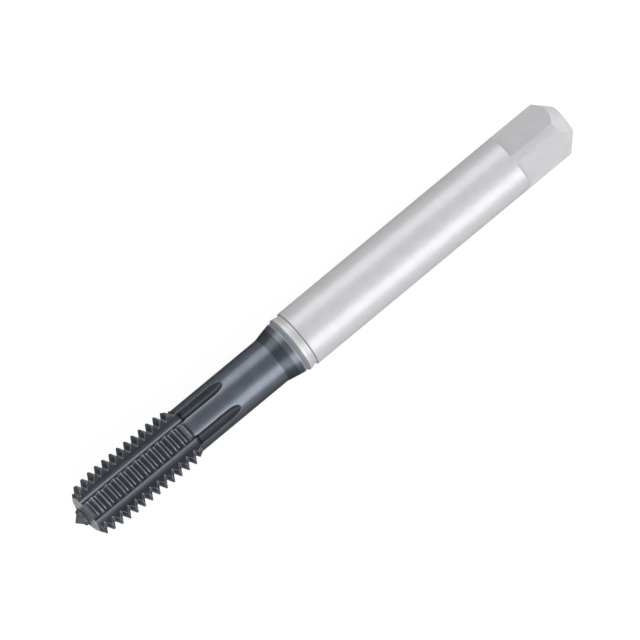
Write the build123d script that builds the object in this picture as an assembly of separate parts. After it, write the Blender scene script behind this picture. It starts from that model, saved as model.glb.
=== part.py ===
from build123d import *
import math
import os

# Thread forming tap for an M10 x 1.5 thread, ground from one bar of tool steel.
# It lies along X, point towards -X, and rests on its shank at z = 0.
# The origin is on that surface, under the middle of its length.
# One of the five lobes, and one corner of the drive square, face straight up.
# All sizes are in millimetres and angles in degrees.

# Overall
overall_length = 100.0
shank_diameter = 10.0

# Turned point and front face
point_diameter = 2.2
point_angle = 44.0
pilot_front_diameter = 2.8
pilot_diameter = 3.0
pilot_length = 0.47
face_diameter = 6.0
face_depth = 0.4
chamfer_diameter = 8.9
chamfer_length = 0.9

# Forming thread
thread_diameter = 10.06
thread_pitch = 1.5
thread_angle = 60.0
crest_flat = 0.10
root_flat = 0.10
lead_turns = 3.0
lead_root_share = 0.6
thread_length = 21.2
rear_angle = 28.0
thread_run_out = 0.17

# Each tooth space stops this many degrees short of the middle of the grooves beside it
space_end_gap = 2.0

# Share of the height where the mouths of two neighbouring spaces would meet over the crest
space_over_crest = 0.8

# Lobes: each lobe is an arc of this radius, struck off the tap's own centre
lobe_count = 5
lobe_radius = 4.2

# Oil grooves between the lobes
groove_radius = 1.24
groove_wall_angle = 21.0
groove_below_root = 0.60
groove_step = 0.20
groove_step_length = 0.5
groove_past_thread = 6.4
groove_exit_radius = 5.0
groove_exit_angle = 75.0

# Neck behind the thread
neck_over_root = 0.15
neck_length = 17.4
cone_rise = 0.46
cone_length = 2.0
band_rise = 0.20
band_length = 1.10

# Collar and the two turned recesses in front of the shank
notch_diameter = 9.04
notch_length = 0.2
collar_diameter = 9.90
collar_bevel = 0.45
collar_length = 0.95
collar_fall = 0.10
recess_diameter = 9.44
recess_length = 0.4
shank_edge = 0.20

# Drive square
square_sides = 4
square_depth = 1.0
square_length = 10.8
end_chamfer = 2.45

# Worked out from the sizes above; places along the tap are counted from its point
half_angle = math.radians(thread_angle / 2)
lobe_angle = 360 / lobe_count
crest_radius = thread_diameter / 2
thread_depth = (thread_pitch - crest_flat - root_flat) / (2 * math.tan(half_angle))
root_radius = crest_radius - thread_depth
neck_radius = root_radius + neck_over_root
shank_radius = shank_diameter / 2
groove_floor = root_radius - groove_below_root
neck_groove_floor = groove_floor + groove_step

point_end = point_diameter / 2 / math.tan(math.radians(point_angle))
pilot_end = point_end + pilot_length
face_end = pilot_end + face_depth
chamfer_end = face_end + chamfer_length
lead_end = chamfer_end + lead_turns * thread_pitch
rear_slope = math.tan(math.radians(rear_angle))
thread_end = pilot_end + thread_length
crest_end = thread_end - (crest_radius - neck_radius) / rear_slope
neck_end = thread_end + neck_length
cone_end = neck_end + cone_length
cone_radius = neck_radius + cone_rise
band_end = cone_end + band_length
band_radius = cone_radius + band_rise
notch_end = band_end + notch_length
collar_radius = collar_diameter / 2
collar_start = notch_end + collar_bevel
collar_end = collar_start + collar_length
recess_end = collar_end + recess_length
shank_start = recess_end + shank_edge

along_x = Plane.YZ
up_angle = 90


def turned_blank():
    """The bar as it leaves the lathe: every round form, from point to end chamfer."""
    outline = Polyline(
        (0, 0),
        (point_end, point_diameter / 2),
        (point_end, pilot_front_diameter / 2),
        (pilot_end, pilot_diameter / 2),
        (face_end, face_diameter / 2),
        (chamfer_end, chamfer_diameter / 2),
        (lead_end, crest_radius),
        (crest_end, crest_radius),
        (thread_end, neck_radius),
        (neck_end, neck_radius),
        (cone_end, cone_radius),
        (band_end, band_radius),
        (notch_end, notch_diameter / 2),
        (collar_start, collar_radius),
        (collar_end, collar_radius - collar_fall),
        (collar_end, recess_diameter / 2),
        (recess_end, recess_diameter / 2),
        (shank_start, shank_radius),
        (overall_length - end_chamfer, shank_radius),
        (overall_length, shank_radius - end_chamfer),
        (overall_length, 0),
        close=True,
    )
    return revolve(Plane.XZ * make_face(outline), Axis.X)


def lobe_grinding():
    """What the cam grinding takes off the round thread section to leave the lobes."""
    lobe_offset = crest_radius - lobe_radius
    lobes = Sketch() + [
        spot * Circle(lobe_radius)
        for spot in PolarLocations(lobe_offset, lobe_count, start_angle=up_angle)
    ]
    ring = Circle(2 * crest_radius) - lobes
    return extrude(along_x * ring, thread_end)


def tooth_space():
    """The V between two teeth on the top lobe, on its helix, ending in both grooves."""
    reach = lobe_angle - 2 * space_end_gap
    rise = thread_pitch * reach / 360
    path = Helix(thread_pitch, rise, root_radius)
    neighbours_meet = crest_flat / 2 / math.tan(half_angle)
    height = thread_depth + space_over_crest * neighbours_meet
    mouth = root_flat / 2 + height * math.tan(half_angle)
    section = Polyline(
        (0, -root_flat / 2),
        (height, -mouth),
        (height, mouth),
        (0, root_flat / 2),
        close=True,
    )
    start = Plane(origin=path @ 0, x_dir=(1, 0, 0), z_dir=path % 0)
    space = sweep(start * make_face(section), path=path, is_frenet=True)
    on_top = Plane(origin=(0, 0, 0), x_dir=(0, 0, 1), z_dir=(1, 0, 0))
    return on_top * Pos(0, 0, -rise / 2) * Rot(Z=-reach / 2) * space


def tooth_spaces():
    """Copies of the space, one lobe further forward along the right-hand helix each time.

    In the lead the crests fall towards the point, and the roots follow part of the way.
    """
    space = tooth_space()
    last_space = thread_end - thread_run_out
    step = thread_pitch / lobe_count
    crest_fall = (crest_radius - chamfer_diameter / 2) / (lead_end - chamfer_end)
    spaces = []
    for number in range(math.ceil((last_space - face_end) / step)):
        place = last_space - number * step
        root_fall = lead_root_share * crest_fall * max(0, lead_end - place)
        spaces.append(Rot(X=-number * lobe_angle) * Pos(place, 0, -root_fall) * space)
    return spaces


def groove_section(floor):
    """Round floor at the given radius, with straight walls that lean outwards."""
    lean = math.radians(groove_wall_angle)
    half_floor = groove_radius * math.cos(lean)
    wall_foot = floor + groove_radius - groove_radius * math.sin(lean)
    wall_top = crest_radius + groove_radius / 2
    half_top = half_floor + (wall_top - wall_foot) * math.tan(lean)
    walls = Polyline(
        (-half_floor, wall_foot),
        (-half_top, wall_top),
        (half_top, wall_top),
        (half_floor, wall_foot),
    )
    round_floor = ThreePointArc(
        (half_floor, wall_foot),
        (0, floor),
        (-half_floor, wall_foot),
    )
    return make_face(Curve() + [walls, round_floor])


def oil_groove():
    """One groove cutter, pointing straight up: deep in the thread, shallower in the neck."""
    step_start = thread_end
    step_end = step_start + groove_step_length
    exit_start = thread_end + groove_past_thread
    deep = extrude(along_x * groove_section(groove_floor), step_start)
    ramp = loft([
        along_x.offset(step_start) * groove_section(groove_floor),
        along_x.offset(step_end) * groove_section(neck_groove_floor),
    ])
    shallow_start = along_x.offset(step_end)
    shallow = extrude(
        shallow_start * groove_section(neck_groove_floor),
        exit_start - step_end,
    )
    wheel_axis = Axis(
        (exit_start, 0, neck_groove_floor + groove_exit_radius),
        (0, -1, 0),
    )
    at_exit = along_x.offset(exit_start)
    exit_cut = revolve(
        at_exit * groove_section(neck_groove_floor),
        wheel_axis,
        groove_exit_angle,
    )
    return deep + ramp + shallow + exit_cut


def drive_flats():
    """The four blocks that the square's flats are ground away in."""
    reach = shank_diameter
    flat_height = shank_radius - square_depth
    start = overall_length - square_length
    block = Pos(start, 0, flat_height) * Box(
        2 * square_length,
        2 * reach,
        reach,
        align=(Align.MIN, Align.CENTER, Align.MIN),
    )
    side_angle = 360 / square_sides
    return [
        Rot(X=(side + 0.5) * side_angle) * block
        for side in range(square_sides)
    ]


def forming_tap():
    tap = turned_blank() - lobe_grinding()
    groove = oil_groove()
    for number in range(lobe_count):
        tap -= Rot(X=(number + 0.5) * lobe_angle) * groove
    tap -= tooth_spaces()
    for block in drive_flats():
        tap -= block
    return Pos(-overall_length / 2, 0, shank_radius) * tap


os.makedirs("parts", exist_ok=True)
export_step(forming_tap(), "parts/forming_tap.step")
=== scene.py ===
import math

import bmesh
import bpy
import numpy as np
from mathutils import Matrix, Vector


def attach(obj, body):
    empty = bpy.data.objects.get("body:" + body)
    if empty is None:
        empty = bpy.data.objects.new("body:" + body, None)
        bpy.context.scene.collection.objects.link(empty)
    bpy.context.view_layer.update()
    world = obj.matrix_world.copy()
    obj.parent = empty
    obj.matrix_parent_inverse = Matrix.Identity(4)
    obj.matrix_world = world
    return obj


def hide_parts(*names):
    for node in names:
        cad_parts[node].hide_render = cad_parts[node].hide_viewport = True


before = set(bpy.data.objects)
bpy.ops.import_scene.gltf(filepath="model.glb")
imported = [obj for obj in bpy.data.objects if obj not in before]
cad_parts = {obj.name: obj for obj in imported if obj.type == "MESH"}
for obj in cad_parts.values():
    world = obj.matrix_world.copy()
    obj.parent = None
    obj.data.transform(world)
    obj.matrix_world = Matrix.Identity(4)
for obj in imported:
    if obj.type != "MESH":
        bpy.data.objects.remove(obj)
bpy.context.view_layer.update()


# The tap: one bar of tool steel, turned from point to square, with the thread and grooves ground
# into its front end. It is hardened all through, polished and given a thin dark coating up to the
# collar, and its shank and drive square stay bright. It is one piece, so nothing is fixed to it.

# Sizes in millimetres and degrees. Places along the tap are counted from its point.
overall_length = 100.0
shank_radius = 5.0
point_end = 1.139
pilot_end = point_end + 0.47
face_end = pilot_end + 0.4
chamfer_end = face_end + 0.9
thread_pitch = 1.5
crest_radius = 5.03
root_radius = 3.97
root_flat = 0.17
flank_slope = 1 / math.tan(math.radians(30))
lead_end = chamfer_end + 3 * thread_pitch
lead_front_radius = 4.45
lead_slope = (crest_radius - lead_front_radius) / (lead_end - chamfer_end)
lead_root_share = 0.6
thread_end = pilot_end + 21.2
last_root = thread_end - 0.17
neck_radius = 4.054
crest_end = thread_end - (crest_radius - neck_radius) / math.tan(math.radians(28))
neck_end = thread_end + 17.4
cone_end = neck_end + 2.15
band_end = cone_end + 1.1
notch_end = band_end + 0.2
collar_start = notch_end + 0.45
collar_end = collar_start + 0.80
recess_end = collar_end + 0.6
shank_start = recess_end + 0.17
square_start = overall_length - 10.8
end_chamfer = 2.45
end_radius = shank_radius - end_chamfer
flat_distance = shank_radius - 1.0

lobe_count = 5
lobe_angle = 360 / lobe_count
lobe_radius = 4.2
lobe_offset = crest_radius - lobe_radius

groove_floor = 3.304
groove_radius = 1.24
groove_lean = math.radians(21)
groove_step = 0.20
groove_step_length = 0.5
exit_start = thread_end + 6.4
exit_wheel_radius = 5.0

turned_corner = 0.06
tiny_step = 0.004


def rounded_outline(points, reach):
    """The turned outline with each corner eased by a small curve.

    The curve reaches this far along both lines, but never to the middle of a short one.
    """
    longest_share = 0.45
    points = [Vector(point) for point in points]
    outline = [points[0]]
    for before, corner, after in zip(points, points[1:], points[2:]):
        start = corner + (before - corner) * min(longest_share, reach / (before - corner).length)
        end = corner + (after - corner) * min(longest_share, reach / (after - corner).length)
        outline += [start, (start + 2 * corner + end) / 4, end]
    return np.array(outline + [points[-1]])


turned_outline = rounded_outline(
    [
        (0, 0),
        (point_end, 1.1),
        (point_end + tiny_step, 1.4),
        (pilot_end, 1.5),
        (face_end, 3.0),
        (chamfer_end, lead_front_radius),
        (lead_end, crest_radius),
        (crest_end, crest_radius),
        (thread_end, neck_radius),
        (neck_end, neck_radius),
        (cone_end, neck_radius + 0.46),
        (band_end, neck_radius + 0.66),
        (notch_end, 4.52),
        (collar_start, 4.95),
        (collar_end, 4.85),
        (collar_end + tiny_step, 4.72),
        (recess_end, 4.72),
        (shank_start, shank_radius),
        (overall_length - end_chamfer, shank_radius),
        (overall_length, end_radius),
    ],
    turned_corner,
)


def turned_radius(place):
    return np.interp(place, turned_outline[:, 0], turned_outline[:, 1])


def from_lobe_middle(angle):
    return (angle + lobe_angle / 2) % lobe_angle - lobe_angle / 2


def land_radius(place, angle):
    """The lobed land before its teeth are ground: the turned form inside the lobe's arc."""
    turn = np.radians(from_lobe_middle(angle))
    sideways = lobe_offset * np.sin(turn)
    lobe = lobe_offset * np.cos(turn) + np.sqrt(lobe_radius**2 - sideways**2)
    lobe = np.where(place > thread_end, shank_radius + 1, lobe)
    return np.minimum(turned_radius(place), lobe)


# The teeth: a 60 degree V on a right-hand helix. Its first turns lie in the tapered lead, where
# the crests fall towards the point and the roots follow part of the way.
tooth_space_count = 16
tooth_spaces = np.arange(tooth_space_count)
soft_edge = 0.08
flank_halvings = 20
short_of_crest = 0.01
short_of_thread_end = 0.02


def root_place(angle, number):
    return last_root + thread_pitch * (angle / 360 - number)


def root_depth(root):
    """How far from the axis the floor of a tooth space lies."""
    return root_radius - lead_root_share * lead_slope * np.maximum(0, lead_end - root)


def soft_min(a, b, reach):
    """The lower of two heights, with a rounded edge where they meet."""
    near = np.maximum(reach - np.abs(a - b), 0) / reach
    return np.minimum(a, b) - near**2 * reach / 4


def toothed_radius(place, angle):
    number = np.round((last_root - place) / thread_pitch + angle / 360)
    number = np.maximum(number, np.where(angle > lobe_angle / 2, 1, 0))
    root = root_place(angle, number)
    rise = (np.abs(place - root) - root_flat / 2) * flank_slope
    space = root_depth(root) - soft_min(-rise, 0 * rise, soft_edge)
    land = land_radius(place, angle)
    return np.where(place < thread_end, soft_min(land, space, soft_edge), land)


def flank_reach(angle, root, side):
    """How far a flank runs from the middle of its space to the crest, by halving steps."""
    low = np.zeros_like(root)
    high = np.full_like(root, thread_pitch / 2)
    for _ in range(flank_halvings):
        middle = (low + high) / 2
        flank = root_depth(root) + (middle - root_flat / 2) * flank_slope
        inside = flank < land_radius(root + side * middle, angle)
        low = np.where(inside, middle, low)
        high = np.where(inside, high, middle)
    return high


def tooth_rows(angle):
    """For each angle, the places of the rows of points that follow the teeth."""
    angle = angle[:, None]
    root = root_place(angle, tooth_spaces)
    half_pitch = thread_pitch / 2
    rows = [root, root + half_pitch]
    foot = root_flat / 2
    wide, narrow = 0.09, 0.02
    for side in (-1, 1):
        crest = flank_reach(angle, root, side)
        for start, shift in (
            (foot, -narrow),
            (foot, narrow),
            (foot, wide),
            (crest, -wide),
            (crest, -narrow),
            (crest, narrow),
            (crest, wide),
        ):
            reach = np.clip(start + shift, 0, half_pitch - short_of_crest)
            rows.append(root + side * reach)
    rows = np.concatenate(rows, axis=1)
    return np.clip(rows, face_end, thread_end - short_of_thread_end)


def crowded(start, end, count):
    """Places that crowd towards the start, where a groove opens or ends in a round tip."""
    return start + (end - start) * (np.arange(count) / (count - 1)) ** 2


# The rows of points that stand square to the tap: its turned corners, the grooves' two ends and
# a few between.
rising = turned_outline[turned_outline[:, 0] < chamfer_end]
groove_opens = np.interp(groove_floor, rising[:, 1], rising[:, 0])
neck_floor = groove_floor + groove_step
wheel_axis_height = neck_floor + exit_wheel_radius
exit_tip = exit_start + math.sqrt(exit_wheel_radius**2 - (wheel_axis_height - neck_radius) ** 2)
plain_neck = neck_end - 1.0
last_shank_row = overall_length - end_chamfer - 1

# From, to and how many: evenly spread rows, then rows that crowd towards the first place.
even_rows = [
    (0.2, 1.1, 4),
    (thread_end, thread_end + groove_step_length, 4),
    (thread_end + 1.5, exit_start, 4),
    (neck_end, cone_end, 5),
    (shank_start + 1, square_start, 14),
    (square_start + 1.5, last_shank_row, 5),
]
crowded_rows = [
    (groove_opens, pilot_end, 8),
    (groove_opens, lead_end, 12),
    (exit_tip, exit_start, 14),
    (exit_tip, plain_neck, 14),
]
fixed_rows = np.concatenate(
    [turned_outline[turned_outline[:, 0] < last_shank_row, 0], [square_start + tiny_step / 2]]
    + [np.linspace(start, end, count) for start, end, count in even_rows]
    + [crowded(start, end, count) for start, end, count in crowded_rows]
)
fixed_rows = np.unique(np.round(fixed_rows, 4))


def all_rows(angle):
    fixed = np.broadcast_to(fixed_rows, (len(angle), len(fixed_rows)))
    return np.sort(np.concatenate([fixed, tooth_rows(angle)], axis=1), axis=1)


row_count = len(fixed_rows) + tooth_rows(np.zeros(1)).shape[1]
row_numbers = np.arange(row_count)


def row_places(angle):
    """Each row's place along the tap, at the angle given for that row."""
    return all_rows(angle)[row_numbers, row_numbers]


# The oil grooves: ground lengthwise by a round-edged wheel that is lifted out in the neck. They
# are one step deeper inside the thread.
wall_turn = math.pi / 2 - groove_lean
wall_foot = groove_radius * math.cos(groove_lean)
floor_run = groove_radius * wall_turn
groove_halvings = 26


def section_height(place, height):
    """A height over the axis, moved to where it would be in the groove's deep section."""
    step = groove_step * np.clip((place - thread_end) / groove_step_length, 0, 1)
    past = np.maximum(place - exit_start, 0)
    lifted = wheel_axis_height - np.hypot(past, wheel_axis_height - height)
    return np.where(place > exit_start, lifted, height) - step


def real_height(place, section):
    """The opposite of section_height."""
    step = groove_step * np.clip((place - thread_end) / groove_step_length, 0, 1)
    past = np.maximum(place - exit_start, 0)
    reach = np.maximum((wheel_axis_height - section - step) ** 2 - past**2, 0)
    return np.where(place > exit_start, wheel_axis_height - np.sqrt(reach), section + step)


def section_half_width(section):
    """Half the groove's width at a height in its deep section."""
    centre = groove_floor + groove_radius
    foot_height = centre - groove_radius * math.sin(groove_lean)
    round_part = np.sqrt(np.maximum(groove_radius**2 - (section - centre) ** 2, 0))
    wall_part = wall_foot + (section - foot_height) * math.tan(groove_lean)
    return np.where(section < foot_height, round_part, wall_part)


def groove_half_angle(place, radius):
    """How far, in degrees from the middle of a groove, a land of this radius ends."""
    low = np.zeros_like(place)
    high = np.full_like(place, lobe_angle / 2)
    for _ in range(groove_halvings):
        middle = (low + high) / 2
        turn = np.radians(middle)
        section = section_height(place, radius * np.cos(turn))
        open_here = (radius * np.sin(turn) < section_half_width(section)) & (section > groove_floor)
        low = np.where(open_here, middle, low)
        high = np.where(open_here, high, middle)
    return low


# The net of points round the tap. Five lands and five grooves take turns, with more points in a
# groove, and where there is no groove they spread out evenly.
land_spaces = 14
groove_spaces = 22
columns = lobe_count * (land_spaces + groove_spaces)
even_half_groove = lobe_angle / 2 * groove_spaces / (land_spaces + groove_spaces)
edge_ease = 0.05
edge_drop = 0.29
first_half_angle = 16.0
least_cut_angle = 0.01
edge_rounds = 8


def smooth_step(value):
    value = np.clip(value, 0, 1)
    return value * value * (3 - 2 * value)


def even_half_angle(place):
    front = smooth_step((groove_opens - place) / (groove_opens - pilot_end))
    rear = smooth_step((place - exit_tip) / (plain_neck - exit_tip))
    return even_half_groove * np.maximum(front, rear)


def land_edge(middle, side):
    """One edge of a land, where it meets its groove: places, radii, angles, and if it is cut."""
    groove_middle = middle + side * lobe_angle / 2
    half = np.full(row_count, first_half_angle)
    for _ in range(edge_rounds):
        place = row_places(groove_middle - side * half)
        radius = toothed_radius(place, groove_middle - side * half)
        cut_half = groove_half_angle(place, radius)
        is_cut = cut_half > least_cut_angle
        half = np.where(is_cut, cut_half, even_half_angle(place))
    return place, radius, groove_middle - side * half, is_cut


def run_from_floor(half_width):
    """The way along the groove's section from its floor to a point this far from its middle."""
    on_floor = groove_radius * np.arcsin(np.clip(half_width / groove_radius, -1, 1))
    on_wall = floor_run + (half_width - wall_foot) / math.sin(groove_lean)
    return np.where(half_width < wall_foot, on_floor, on_wall)


def section_point(run):
    """Sideways place and height of a point that lies this way along the groove's section."""
    size = np.abs(run)
    turn = np.minimum(size, floor_run) / groove_radius
    wall = np.maximum(size - floor_run, 0)
    sideways = groove_radius * np.sin(turn) + wall * math.sin(groove_lean)
    height = groove_floor + groove_radius * (1 - np.cos(turn)) + wall * math.cos(groove_lean)
    return np.sign(run) * sideways, height


def eased_turn(radius, cut):
    """The angle that an eased edge takes up, where a groove cuts the land."""
    return np.where(cut, np.degrees(edge_ease / np.maximum(radius, tiny_step)), 0)


def land_columns(left, right):
    """The points of one land, from edge to edge, with both edges eased."""
    place_left, radius_left, angle_left, cut_left = left
    place_right, radius_right, angle_right, cut_right = right
    ease_left = eased_turn(radius_left, cut_left)
    ease_right = eased_turn(radius_right, cut_right)
    low_left = radius_left - edge_drop * edge_ease * cut_left
    low_right = radius_right - edge_drop * edge_ease * cut_right
    even_turn = (angle_right - angle_left) / land_spaces
    inner_left = np.where(cut_left, ease_left, even_turn)
    inner_right = np.where(cut_right, ease_right, even_turn)
    made = [(place_left, low_left, angle_left + edge_drop * ease_left)]
    for share in np.linspace(0, 1, land_spaces - 1):
        angle = (angle_left + inner_left) * (1 - share) + (angle_right - inner_right) * share
        place = row_places(angle)
        made.append((place, toothed_radius(place, angle), angle))
    made.append((place_right, low_right, angle_right - edge_drop * ease_right))
    return made


def groove_columns(middle, left, right):
    """The points of one groove between two lands, without the lands' own edges."""
    place_left, radius_left, angle_left, cut_left = left
    place_right, radius_right, angle_right, cut_right = right
    half_left = np.radians(middle - angle_left)
    half_right = np.radians(angle_right - middle)
    run_left = run_from_floor(radius_left * np.sin(half_left))
    run_right = run_from_floor(radius_right * np.sin(half_right))
    least_parts = 6
    ease = np.minimum(edge_ease, (run_left + run_right) / least_parts)
    cut = cut_left & cut_right
    made = []
    for share in np.linspace(0, 1, groove_spaces - 1):
        run = (ease - run_left) * (1 - share) + (run_right - ease) * share
        across = (share * (groove_spaces - 2) + 1) / groove_spaces
        place = place_left * (1 - across) + place_right * across
        sideways, section = section_point(run)
        height = real_height(place, section)
        plain_angle = angle_left * (1 - across) + angle_right * across
        plain_radius = toothed_radius(place, plain_angle)
        radius = np.where(cut, np.hypot(height, sideways), plain_radius)
        angle = np.where(cut, middle + np.degrees(np.arctan2(sideways, height)), plain_angle)
        made.append((place, radius, angle))
    return made


land_middles = [lobe_angle * (number - lobe_count // 2) for number in range(lobe_count)]
left_edges = [land_edge(middle, -1) for middle in land_middles]
right_edges = [land_edge(middle, 1) for middle in land_middles]
column_points = []
for number, middle in enumerate(land_middles):
    column_points += land_columns(left_edges[number], right_edges[number])
    place, radius, angle, cut = left_edges[(number + 1) % lobe_count]
    if number == lobe_count - 1:
        angle = angle + 360
    next_edge = (place, radius, angle, cut)
    column_points += groove_columns(middle + lobe_angle / 2, right_edges[number], next_edge)
places, radii, angles = (np.stack(part, axis=1) for part in zip(*column_points))

# The drive square: four flats ground parallel to the axis, and the 45 degree chamfer that was
# turned on the end first. The points near the flats' edges are moved to lie on them.
quarter = 90
half_flat = math.degrees(math.acos(flat_distance / shank_radius))
corner_half = quarter / 2 - half_flat
even_corner_half = 8
chamfer_shares = (0, 0.33, 0.67, 1)
end_face_radii = (1.2, 0)


def to_square(angle):
    """Moves evenly spread angles so that some lie exactly on the edges of the flats."""
    corner = np.round(angle / quarter) * quarter
    evenly = [-quarter / 2, -even_corner_half, even_corner_half, quarter / 2]
    on_edges = [-quarter / 2, -corner_half, corner_half, quarter / 2]
    return corner + np.interp(angle - corner, evenly, on_edges)


def square_radius(angle):
    from_flat = np.radians((angle % quarter) - quarter / 2)
    return np.minimum(shank_radius, flat_distance / np.cos(from_flat))


plain = places[:, 0] > shank_start
angles[plain] = to_square(angles[plain])
in_square = places[:, 0] > square_start
radii[in_square] = square_radius(angles[in_square])
end_angles = angles[-1]
end_radii = square_radius(end_angles)
chamfer_starts = overall_length - end_radii + end_radius
for share in chamfer_shares:
    rows_place = chamfer_starts + (overall_length - chamfer_starts) * share
    rows_radius = overall_length + end_radius - rows_place
    places = np.vstack([places, rows_place])
    radii = np.vstack([radii, rows_radius])
    angles = np.vstack([angles, end_angles])
for radius in end_face_radii:
    places = np.vstack([places, np.full(columns, overall_length)])
    radii = np.vstack([radii, np.full(columns, radius)])
    angles = np.vstack([angles, end_angles])

# From places, radii and angles to points in the frame, in metres: the axis lies level, one shank
# radius up, and angles are counted from straight up towards -Y.
millimetre = 0.001
turns = np.radians(angles)
points = np.stack(
    [
        places - overall_length / 2,
        -radii * np.sin(turns),
        shank_radius + radii * np.cos(turns),
    ],
    axis=2,
)
points = points.reshape(-1, 3) * millimetre

# What the finish needs to know of each point. Crests and roots get painted highlights, on the
# crests partly wear, and land edges get a painted highlight. Flanks and grooves are dull, and the
# grooves are painted darker too, partly as painted shade; the grooves in the neck and their edges
# there are painted darkest, as painted shade. The ground front rim is pale, with a painted
# highlight strongest at its sides.
crest_half_width = 0.11
rear_crest_height = 0.12
crest_below_land = 0.045
crest_behind_face = 0.1
root_line_spare = 0.021
last_highlit_root = thread_end - 0.4
fade_start, fade_columns = 0.5, 2.5
edge_columns = 2
flank_depth = 0.06
groove_depth = 0.02
neck_groove_mark, neck_edge_shade = 1.4, 2.0
rim_start, rim_end = pilot_end + 0.03, face_end + 0.2
rim_least, rim_far, rim_near = 0.2, 0.8, 0.55
rim_side_start, rim_side_width = 1.1, 0.6
line = np.arange(columns) % (land_spaces + groove_spaces)
on_land = line <= land_spaces
columns_in = np.minimum(line, land_spaces - line)
land_is = land_radius(places, angles)
space_number = np.round((last_root - places) / thread_pitch + angles / 360)
root = root_place(angles, space_number)
to_root = np.abs(places - root)
over_land = root_depth(root) + (to_root - root_flat / 2) * flank_slope - land_is
on_crest = to_root > thread_pitch / 2 - crest_half_width
crest_line = np.where(places > crest_end, over_land < rear_crest_height, on_crest)
crest_line = crest_line & (over_land > -crest_below_land) & (places > face_end + crest_behind_face)
root_line = (to_root < root_flat / 2 + root_line_spare) & (places > face_end)
# Crest lines: partly wear, partly painted highlight. Root lines: painted highlight.
wear_and_highlight = (crest_line & (places < thread_end)) | (root_line & (places < last_highlit_root))
wear_and_highlight = wear_and_highlight * smooth_step((columns_in - fade_start) / fade_columns)
on_thread = (places > face_end) & (places < thread_end)
# The land edges in the thread get a painted highlight.
land_edge_highlight = on_thread & on_land & (columns_in < edge_columns) & ~crest_line
flank = on_land & on_thread & (radii < land_is - flank_depth)
in_groove = ~on_land & (radii < land_is - groove_depth)
in_groove = in_groove & (places > groove_opens) & (places < exit_tip)
# The neck grooves are painted darker than the rest, and their edges nearly black, as painted shade.
neck_edge = (columns_in == 0) & (places > thread_end) & (places < exit_tip)
groove_mark = in_groove * np.where(places > thread_end, neck_groove_mark, 1)
to_side = radii * np.sin(turns)
at_sides = smooth_step((np.abs(to_side) - rim_side_start) / rim_side_width)
# The rim's pale finish gets a painted highlight at its sides, unequal from side to side.
rim_pale_and_highlight = rim_least + at_sides * np.where(to_side < 0, rim_far, rim_near)
rim_pale_and_highlight = rim_pale_and_highlight * (places > rim_start) * (places < rim_end)
finish_marks = {
    "wear_and_highlight": wear_and_highlight,
    "edge": land_edge_highlight,
    "flank": flank,
    "in_groove": groove_mark + neck_edge_shade * neck_edge,
    "rim_pale_and_highlight": rim_pale_and_highlight,
    "from_middle": radii * np.sin(np.radians(angles % lobe_angle - lobe_angle / 2)),
}

# The mesh: a face between each four neighbouring points, with points that coincide made one.
same_point = 0.0012 * millimetre
sharp_from = math.radians(32)
rows = len(places)
first = (np.arange(rows - 1)[:, None] * columns + np.arange(columns)).ravel()
beside = (np.arange(rows - 1)[:, None] * columns + np.roll(np.arange(columns), -1)).ravel()
faces = np.stack([first, beside, beside + columns, first + columns], axis=1)
tap_mesh = bpy.data.meshes.new("forming_tap_body")
tap_mesh.from_pydata(points.tolist(), [], faces.tolist())
tap = bpy.data.objects.new("forming_tap_body", tap_mesh)
bpy.context.scene.collection.objects.link(tap)
for name, values in finish_marks.items():
    attribute = tap_mesh.attributes.new(name, "FLOAT", "POINT")
    attribute.data.foreach_set("value", values.astype(float).ravel())
shape = bmesh.new()
shape.from_mesh(tap_mesh)
bmesh.ops.remove_doubles(shape, verts=shape.verts, dist=same_point)
bmesh.ops.recalc_face_normals(shape, faces=shape.faces)
shape.to_mesh(tap_mesh)
shape.free()
tap_mesh.shade_smooth()
tap_mesh.set_sharp_from_angle(angle=sharp_from)


class Wire:
    """A value on its way through a material. Sums add Math nodes, and node adds any node."""

    def __init__(self, tree, socket):
        self.tree = tree
        self.socket = socket

    def node(self, kind, settings=None, sockets=None, output=0):
        made = self.tree.nodes.new("ShaderNode" + kind)
        for name, value in (settings or {}).items():
            setattr(made, name, value)
        for name, value in (sockets or {}).items():
            if isinstance(value, Wire):
                self.tree.links.new(value.socket, made.inputs[name])
            else:
                made.inputs[name].default_value = value
        return Wire(self.tree, made.outputs[output])

    def maths(self, operation, first, second):
        return self.node("Math", {"operation": operation}, {0: first, 1: second})

    def __add__(self, other):
        return self.maths("ADD", self, other)

    __radd__ = __add__

    def __sub__(self, other):
        return self.maths("SUBTRACT", self, other)

    def __rsub__(self, other):
        return self.maths("SUBTRACT", other, self)

    def __mul__(self, other):
        return self.maths("MULTIPLY", self, other)

    __rmul__ = __mul__

    def __abs__(self):
        return self.node("Math", {"operation": "ABSOLUTE"}, {0: self})

    def from_to(self, low, high):
        """0 below low and 1 above high, with a smooth change between."""
        settings = {"interpolation_type": "SMOOTHSTEP"}
        return self.node("MapRange", settings, {"Value": self, "From Min": low, "From Max": high})

    def between(self, low, high, fall, end):
        """Rises from low to high, stays at 1, and falls again from fall to end."""
        return self.from_to(low, high) * (1 - self.from_to(fall, end))

    def blend(self, under, over):
        """A colour that goes from under to over as this value goes from 0 to 1."""
        first_colour, second_colour, mixed_colour = 6, 7, 2
        sockets = {"Factor": self, first_colour: under, second_colour: over}
        return self.node("Mix", {"data_type": "RGBA"}, sockets, mixed_colour)


def new_material(name):
    """A new material, with its node tree and its shader."""
    material = bpy.data.materials.new(name)
    material.use_nodes = True
    tree = material.node_tree
    shader = tree.nodes["Principled BSDF"]
    return material, tree, shader


def rgb(red, green, blue):
    return (red, green, blue, 1)


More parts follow.
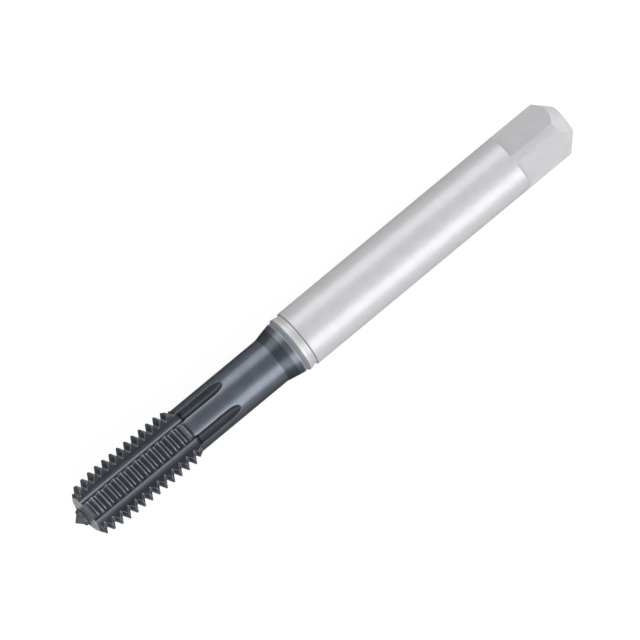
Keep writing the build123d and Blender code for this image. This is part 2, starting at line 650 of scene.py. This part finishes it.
black = rgb(0.0, 0.0, 0.0)
steel_colour = rgb(0.314, 0.312, 0.318)
steel_cloud = rgb(0.304, 0.303, 0.311)
bevel_colour = rgb(0.15, 0.157, 0.172)
coating_colour = rgb(0.074, 0.085, 0.098)
coating_cloud = rgb(0.083, 0.091, 0.107)
wear_and_highlight_colour = rgb(0.182, 0.192, 0.208)
floor_highlight_colour = rgb(0.128, 0.135, 0.148)
edge_highlight_colour = rgb(0.16, 0.168, 0.18)
front_colour = rgb(0.1, 0.102, 0.116)
rim_highlight_colour = rgb(0.22, 0.222, 0.232)

material, tree, shader = new_material("tool_steel_coated_in_front")
here = Wire(tree, tree.nodes.new("ShaderNodeTexCoord").outputs["Object"])
here = here.node("VectorMath", {"operation": "SCALE"}, {0: here, "Scale": 1 / millimetre})
from_point = here.node("SeparateXYZ", {}, {0: here}) + overall_length / 2
across = here.node("SeparateXYZ", {}, {0: here}, output=1)


def mark(name):
    """One of the finish marks that the mesh carries."""
    as_value = 2
    return here.node("Attribute", {"attribute_name": name}, {}, as_value)


# The edge mark carries the land edges' painted highlight, and the groove mark carries painted shade
# with the grooves' own finish.
wear_and_highlight, edge, flank = mark("wear_and_highlight"), mark("edge"), mark("flank")
in_groove, from_middle, rim_pale_and_highlight = mark("in_groove"), mark("from_middle"), mark("rim_pale_and_highlight")


def streaks(stretch, detail):
    """Fine marks that run the way in which the place is stretched least."""
    stretched = here.node("VectorMath", {"operation": "MULTIPLY"}, {0: here, 1: stretch})
    return here.node("TexNoise", {}, {"Vector": stretched, "Scale": 1, "Detail": detail})


on_flat = from_point.from_to(square_start, square_start + 0.01)
lengthwise = in_groove + on_flat * 0.6
ring_marks = streaks((9, 0.3, 0.3), 3)
long_marks = streaks((0.25, 7, 7), 3)
marks = ring_marks + lengthwise * (long_marks - ring_marks)
clouds = streaks((0.45, 0.6, 0.6), 3).from_to(0.4, 0.6)

# Where the finish changes along the tap, and where shade is painted: on the pilot, the rear cone,
# the step at the thread's end and the front line of the shank.
cone_shade_end = 42.2
coating_end = 43.2
on_tip = 1 - from_point.from_to(pilot_end, pilot_end + 0.04)
# The pilot gets painted shade.
on_pilot = on_tip * from_point.from_to(point_end + 0.02, point_end + 0.1)
# The rear cone gets painted shade.
on_cone = from_point.between(neck_end, neck_end + 0.2, cone_shade_end, cone_shade_end + 0.2)
past_coating = from_point.from_to(coating_end, coating_end + 0.1)
past_bevel = from_point.from_to(collar_start + 0.06, collar_start + 0.14)
past_thread = from_point.from_to(thread_end - 0.1, thread_end + 0.1)
rear_place = from_point + (1 - in_groove) * 0.35
step_shade = rear_place.between(thread_end, thread_end + 0.12, thread_end + 0.35, thread_end + 0.5)
# Painted shade along the step from the recess up to the shank.
shank_step_shade = from_point.between(
    recess_end - 0.02, recess_end + 0.04, shank_start - 0.02, shank_start + 0.05
)

# A painted highlight runs along the floor of each groove. It is weaker on the near side, where the
# edge of the land that faces up gets painted shade and its painted highlights are weakened.
near_groove_side, near_groove_middle = -1.6, -1.2
on_floor = 1 - abs(from_middle).from_to(0.08, 0.28)
floor_highlight = in_groove * on_floor * (1 - past_thread * 0.8)
floor_highlight = floor_highlight * (0.4 + across.from_to(near_groove_side, near_groove_middle) * 0.6)
# Painted shade on the land edge on the near side, where the painted highlights are weakened too.
near_edge_shade = across.between(-1.75, near_groove_side, -1.4, -1.05) * (1 - past_thread)
highlight_kept = 1 - near_edge_shade * 0.8

# Each layer of the coating's colour lies over the ones before it. Most of them are painted shade or
# painted highlight.
coated = clouds.blend(coating_colour, coating_cloud)
for layer, layer_colour in (
    # Grooves darkened: partly their duller finish, partly painted shade.
    (in_groove * 0.48, black),
    (floor_highlight, floor_highlight_colour),
    (step_shade * 0.6, black),
    (on_cone * 0.45, black),
    (wear_and_highlight * highlight_kept, wear_and_highlight_colour),
    (edge * highlight_kept, edge_highlight_colour),
    (near_edge_shade * 0.5, black),
    (on_tip, front_colour),
    (on_pilot * 0.35, black),
    (rim_pale_and_highlight, rim_highlight_colour),
):
    coated = layer.blend(coated, layer_colour)
bare = clouds.blend(steel_colour, steel_cloud)
bare = (shank_step_shade * 0.4).blend(bare, black)
bare = past_bevel.blend(bevel_colour, bare)
colour = past_coating.blend(coated, bare)
colour = (marks * 0.2).blend(colour, black)
roughness = 0.29 + past_coating * 0.07 + in_groove * 0.24 + marks * 0.08
roughness = roughness + on_tip * 0.2 - on_flat * 0.08
metallic = 0.85 - past_coating * 0.52 - flank * 0.12
metallic = metallic - rim_pale_and_highlight * 0.7 - edge * 0.4 - floor_highlight * 0.5
bump = here.node("Bump", {}, {"Strength": 0.25, "Distance": 0.00001, "Height": marks})
surface = {"Base Color": colour, "Roughness": roughness, "Metallic": metallic, "Normal": bump}
for name, value in surface.items():
    tree.links.new(value.socket, shader.inputs[name])
shader.inputs["Specular Tint"].default_value = rgb(0.3, 0.3, 0.3)
tap_mesh.materials.append(material)
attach(tap, "root")
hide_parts("forming_tap")


# The table: a plain white sheet that the tap lies on. It is no part of the tap.
# Most of what the camera sees of it is a white glow, and the rest keeps a light shadow.
floor_mesh = bpy.data.meshes.new("floor")
floor_half = 3.0
floor_corners = [(-1, -1), (1, -1), (1, 1), (-1, 1)]
floor_points = [(x * floor_half, y * floor_half, 0) for x, y in floor_corners]
floor_mesh.from_pydata(floor_points, [], [(0, 1, 2, 3)])
floor = bpy.data.objects.new("floor", floor_mesh)
bpy.context.scene.collection.objects.link(floor)
material, tree, shader = new_material("white_table")
shader.inputs["Base Color"].default_value = rgb(0.35, 0.35, 0.35)
shader.inputs["Roughness"].default_value = 0.9
glow = tree.nodes.new("ShaderNodeEmission")
glow.inputs["Strength"].default_value = 1.12
glow_share = 0.8
mix = tree.nodes.new("ShaderNodeMixShader")
light_path = tree.nodes.new("ShaderNodeLightPath")
seen = Wire(tree, light_path.outputs["Is Camera Ray"]) * glow_share
tree.links.new(seen.socket, mix.inputs[0])
tree.links.new(shader.outputs[0], mix.inputs[1])
tree.links.new(glow.outputs[0], mix.inputs[2])
tree.links.new(mix.outputs[0], tree.nodes["Material Output"].inputs["Surface"])
floor_mesh.materials.append(material)


# The light: a pale room that darkens towards the far side and is white to the camera, two long
# soft boxes beside the tap that its rounded sides mirror, and a small one behind the square.
world = bpy.data.worlds.new("pale_room")
world.use_nodes = True
world.node_tree.nodes["Background"].inputs["Color"].default_value = rgb(1.0, 1.0, 1.03)
tree = world.node_tree
way = Wire(tree, tree.nodes.new("ShaderNodeTexCoord").outputs["Generated"])
far_side = way.node("SeparateXYZ", {}, {0: way}, output=1)
strength = 0.92 - far_side * 0.25 - far_side.from_to(0, 1) * 0.4
seen = Wire(tree, tree.nodes.new("ShaderNodeLightPath").outputs["Is Camera Ray"])
strength = strength * (1 - seen) + seen
tree.links.new(strength.socket, tree.nodes["Background"].inputs["Strength"])
bpy.context.scene.world = world


def soft_box(name, length, width, power):
    """A lamp as wide and long as given, in metres, that shines straight down until turned."""
    lamp = bpy.data.lights.new(name, "AREA")
    lamp.shape = "RECTANGLE"
    lamp.size = length
    lamp.size_y = width
    lamp.energy = power
    box = bpy.data.objects.new(name, lamp)
    bpy.context.scene.collection.objects.link(box)
    return box


# Each long box stands beside the tap, turned from straight up towards -Y, and faces it.
box_distance = 0.6
for name, turn, power in (("soft_box_near", 53.5, 8.3), ("soft_box_far", -56.5, 6.8)):
    box = soft_box(name, 1.2, 0.46, power)
    angle = math.radians(turn)
    box.location = (0, -box_distance * math.sin(angle), box_distance * math.cos(angle))
    box.rotation_euler = (angle, 0, 0)

behind = soft_box("soft_box_behind", 0.3, 0.1, 4.8)
behind.location = (0.5, 0, 0.055)
behind.rotation_euler = (0, math.pi / 2, 0)
behind.visible_glossy = False


# The camera: far off with no perspective, as in the photograph. It looks almost straight down on
# the tap, whose point is tipped a little towards it and lies to the lower left.
tip_angle = math.radians(8.5)
image_turn = math.radians(39.66)
view_width = 0.100
camera_distance = 0.8
frame_off_middle = 0.27
frame_off_side = 0.06
aim = Vector((frame_off_middle, frame_off_side, shank_radius)) * millimetre
to_camera = Vector((-math.sin(tip_angle), 0, math.cos(tip_angle)))
along_tap = Vector((math.cos(tip_angle), 0, math.sin(tip_angle)))
across_tap = to_camera.cross(along_tap)
right = math.cos(image_turn) * along_tap - math.sin(image_turn) * across_tap
up = math.sin(image_turn) * along_tap + math.cos(image_turn) * across_tap
camera_data = bpy.data.cameras.new("camera")
camera_data.type = "ORTHO"
camera_data.ortho_scale = view_width
camera = bpy.data.objects.new("camera", camera_data)
bpy.context.scene.collection.objects.link(camera)
camera.matrix_world = Matrix.Translation(aim + to_camera * camera_distance) @ Matrix(
    (
        (right.x, up.x, to_camera.x, 0),
        (right.y, up.y, to_camera.y, 0),
        (right.z, up.z, to_camera.z, 0),
        (0, 0, 0, 1),
    )
)
bpy.context.scene.camera = camera
bpy.context.scene.view_settings.view_transform = "Standard"
